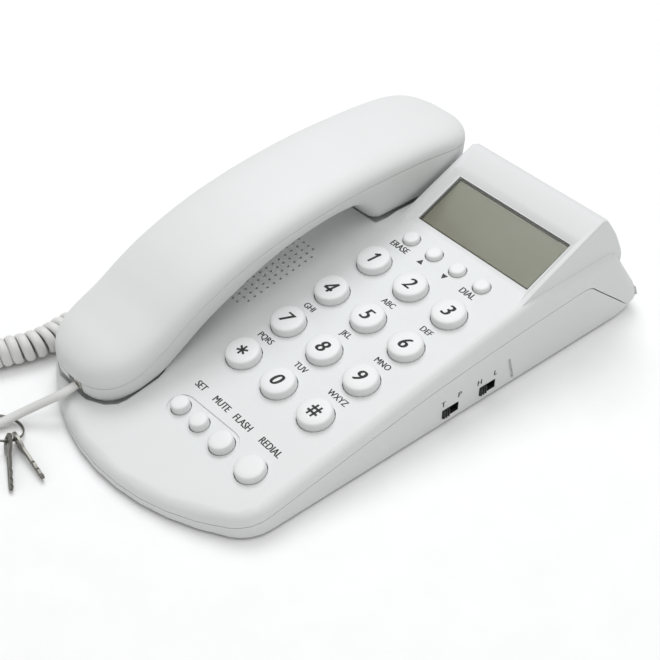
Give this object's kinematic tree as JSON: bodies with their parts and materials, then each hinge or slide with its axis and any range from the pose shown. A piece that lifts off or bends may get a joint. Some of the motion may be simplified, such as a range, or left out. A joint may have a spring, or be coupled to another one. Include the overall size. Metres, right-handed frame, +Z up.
{
  "type": "corded desk telephone",
  "caption": "Corded desk telephone: sloped base with keypad, tilted caller display, side switches, arched handset lying in its cradle, curly cord with a key ring.",
  "frame": {"origin": "on the table, under the middle of the base", "axes": "+X to the user's right, +Y away from the user towards the display end, +Z up"},
  "size_m": [0.1758, 0.359, 0.0653],
  "materials": {
    "white_plastic": "fine matt moulded texture",
    "key_plastic": "satin",
    "black_plastic": "satin",
    "clear_plastic": "clear, glossy",
    "plug_plastic": "clear moulded plug",
    "cord_vinyl": "soft vinyl",
    "lcd_glass": "liquid-crystal panel, unlit",
    "silicone": "matt",
    "rubber": "matt",
    "board": "bare board",
    "steel": "plain",
    "key_nickel": "dark nickel plating",
    "cell_wrap": "printed sleeve without text"
  },
  "bodies": {
    "base": {"base_top_shell": "white_plastic", "base_bottom_shell": "white_plastic", "display_window": "clear_plastic", "lcd_module": "lcd_glass", "keypad_mat": "silicone", "circuit_board": "board", "loudspeaker": "black_plastic", "hook_switch": "black_plastic", "side_switch_case": "black_plastic", "base_cord_jack": "black_plastic", "line_jack": "black_plastic", "battery_door": "white_plastic", "battery_1": "cell_wrap", "battery_2": "cell_wrap", "rubber_foot_1": "rubber", "rubber_foot_2": "rubber", "rubber_foot_3": "rubber", "rubber_foot_4": "rubber", "base_screw_1": "steel", "base_screw_2": "steel", "base_screw_3": "steel", "base_screw_4": "steel", "base_cord_plug": "plug_plastic", "handset_cord_tail": "cord_vinyl", "handset_cord_coil": "cord_vinyl", "handset_cord_lead": "cord_vinyl", "key_ring": "key_nickel", "lock_key_1": "key_nickel", "lock_key_2": "key_nickel"},
    "handset": {"handset_back_shell": "white_plastic", "handset_face_shell": "white_plastic", "receiver_capsule": "black_plastic", "microphone_capsule": "steel", "handset_weight": "steel", "handset_jack": "black_plastic", "handset_cord_plug": "plug_plastic"},
    "hook_plunger": {"hook_plunger": "key_plastic"},
    "key_one": {"key_one": "key_plastic"},
    "key_two": {"key_two": "key_plastic"},
    "key_three": {"key_three": "key_plastic"},
    "key_four": {"key_four": "key_plastic"},
    "key_five": {"key_five": "key_plastic"},
    "key_six": {"key_six": "key_plastic"},
    "key_seven": {"key_seven": "key_plastic"},
    "key_eight": {"key_eight": "key_plastic"},
    "key_nine": {"key_nine": "key_plastic"},
    "key_star": {"key_star": "key_plastic"},
    "key_zero": {"key_zero": "key_plastic"},
    "key_hash": {"key_hash": "key_plastic"},
    "erase_button": {"erase_button": "key_plastic"},
    "up_button": {"up_button": "key_plastic"},
    "down_button": {"down_button": "key_plastic"},
    "call_button": {"call_button": "key_plastic"},
    "adjust_button": {"adjust_button": "key_plastic"},
    "mute_button": {"mute_button": "key_plastic"},
    "flash_button": {"flash_button": "key_plastic"},
    "redial_button": {"redial_button": "key_plastic"},
    "dial_mode_switch_knob": {"dial_mode_switch_knob": "black_plastic"},
    "ringer_switch_knob": {"ringer_switch_knob": "black_plastic"}
  },
  "joints": [
    {"name": "handset_lift", "type": "slide", "parent": "base", "child": "handset", "axis": [0, 0, 1], "range_m": [0, 0.06]},
    {"name": "hook_plunger_rise", "type": "slide", "parent": "base", "child": "hook_plunger", "axis": [0, 0, 1], "range_m": [0, 0.004]},
    {"name": "key_one_press", "type": "slide", "parent": "base", "child": "key_one", "axis": [0, 0.1777, -0.9841], "range_m": [0, 0.0014], "stiffness_N_per_m": 400, "springref_m": -0.001},
    {"name": "key_two_press", "type": "slide", "parent": "base", "child": "key_two", "axis": [0, 0.1777, -0.9841], "range_m": [0, 0.0014], "stiffness_N_per_m": 400, "springref_m": -0.001},
    {"name": "key_three_press", "type": "slide", "parent": "base", "child": "key_three", "axis": [0, 0.1777, -0.9841], "range_m": [0, 0.0014], "stiffness_N_per_m": 400, "springref_m": -0.001},
    {"name": "key_four_press", "type": "slide", "parent": "base", "child": "key_four", "axis": [0, 0.1777, -0.9841], "range_m": [0, 0.0014], "stiffness_N_per_m": 400, "springref_m": -0.001},
    {"name": "key_five_press", "type": "slide", "parent": "base", "child": "key_five", "axis": [0, 0.1777, -0.9841], "range_m": [0, 0.0014], "stiffness_N_per_m": 400, "springref_m": -0.001},
    {"name": "key_six_press", "type": "slide", "parent": "base", "child": "key_six", "axis": [0, 0.1777, -0.9841], "range_m": [0, 0.0014], "stiffness_N_per_m": 400, "springref_m": -0.001},
    {"name": "key_seven_press", "type": "slide", "parent": "base", "child": "key_seven", "axis": [0, 0.1777, -0.9841], "range_m": [0, 0.0014], "stiffness_N_per_m": 400, "springref_m": -0.001},
    {"name": "key_eight_press", "type": "slide", "parent": "base", "child": "key_eight", "axis": [0, 0.1777, -0.9841], "range_m": [0, 0.0014], "stiffness_N_per_m": 400, "springref_m": -0.001},
    {"name": "key_nine_press", "type": "slide", "parent": "base", "child": "key_nine", "axis": [0, 0.1777, -0.9841], "range_m": [0, 0.0014], "stiffness_N_per_m": 400, "springref_m": -0.001},
    {"name": "key_star_press", "type": "slide", "parent": "base", "child": "key_star", "axis": [0, 0.1777, -0.9841], "range_m": [0, 0.0014], "stiffness_N_per_m": 400, "springref_m": -0.001},
    {"name": "key_zero_press", "type": "slide", "parent": "base", "child": "key_zero", "axis": [0, 0.1777, -0.9841], "range_m": [0, 0.0014], "stiffness_N_per_m": 400, "springref_m": -0.001},
    {"name": "key_hash_press", "type": "slide", "parent": "base", "child": "key_hash", "axis": [0, 0.1777, -0.9841], "range_m": [0, 0.0014], "stiffness_N_per_m": 400, "springref_m": -0.001},
    {"name": "erase_button_press", "type": "slide", "parent": "base", "child": "erase_button", "axis": [0, 0.1777, -0.9841], "range_m": [0, 0.001], "stiffness_N_per_m": 400, "springref_m": -0.001},
    {"name": "up_button_press", "type": "slide", "parent": "base", "child": "up_button", "axis": [0, 0.1777, -0.9841], "range_m": [0, 0.001], "stiffness_N_per_m": 400, "springref_m": -0.001},
    {"name": "down_button_press", "type": "slide", "parent": "base", "child": "down_button", "axis": [0, 0.1777, -0.9841], "range_m": [0, 0.001], "stiffness_N_per_m": 400, "springref_m": -0.001},
    {"name": "call_button_press", "type": "slide", "parent": "base", "child": "call_button", "axis": [0, 0.1777, -0.9841], "range_m": [0, 0.001], "stiffness_N_per_m": 400, "springref_m": -0.001},
    {"name": "adjust_button_press", "type": "slide", "parent": "base", "child": "adjust_button", "axis": [0, 0.1777, -0.9841], "range_m": [0, 0.0012], "stiffness_N_per_m": 400, "springref_m": -0.001},
    {"name": "mute_button_press", "type": "slide", "parent": "base", "child": "mute_button", "axis": [0, 0.1777, -0.9841], "range_m": [0, 0.0012], "stiffness_N_per_m": 400, "springref_m": -0.001},
    {"name": "flash_button_press", "type": "slide", "parent": "base", "child": "flash_button", "axis": [0, 0.1777, -0.9841], "range_m": [0, 0.0012], "stiffness_N_per_m": 400, "springref_m": -0.001},
    {"name": "redial_button_press", "type": "slide", "parent": "base", "child": "redial_button", "axis": [0, 0.1777, -0.9841], "range_m": [0, 0.0012], "stiffness_N_per_m": 400, "springref_m": -0.001},
    {"name": "dial_mode_switch_slide", "type": "slide", "parent": "base", "child": "dial_mode_switch_knob", "axis": [0, 1, 0], "range_m": [0, 0.0044]},
    {"name": "ringer_switch_slide", "type": "slide", "parent": "base", "child": "ringer_switch_knob", "axis": [0, 1, 0], "range_m": [0, 0.0044]}
  ],
  "couplings": [
    {"joint": "hook_plunger_rise", "follows": "handset_lift", "ratio": 0.0665}
  ]
}
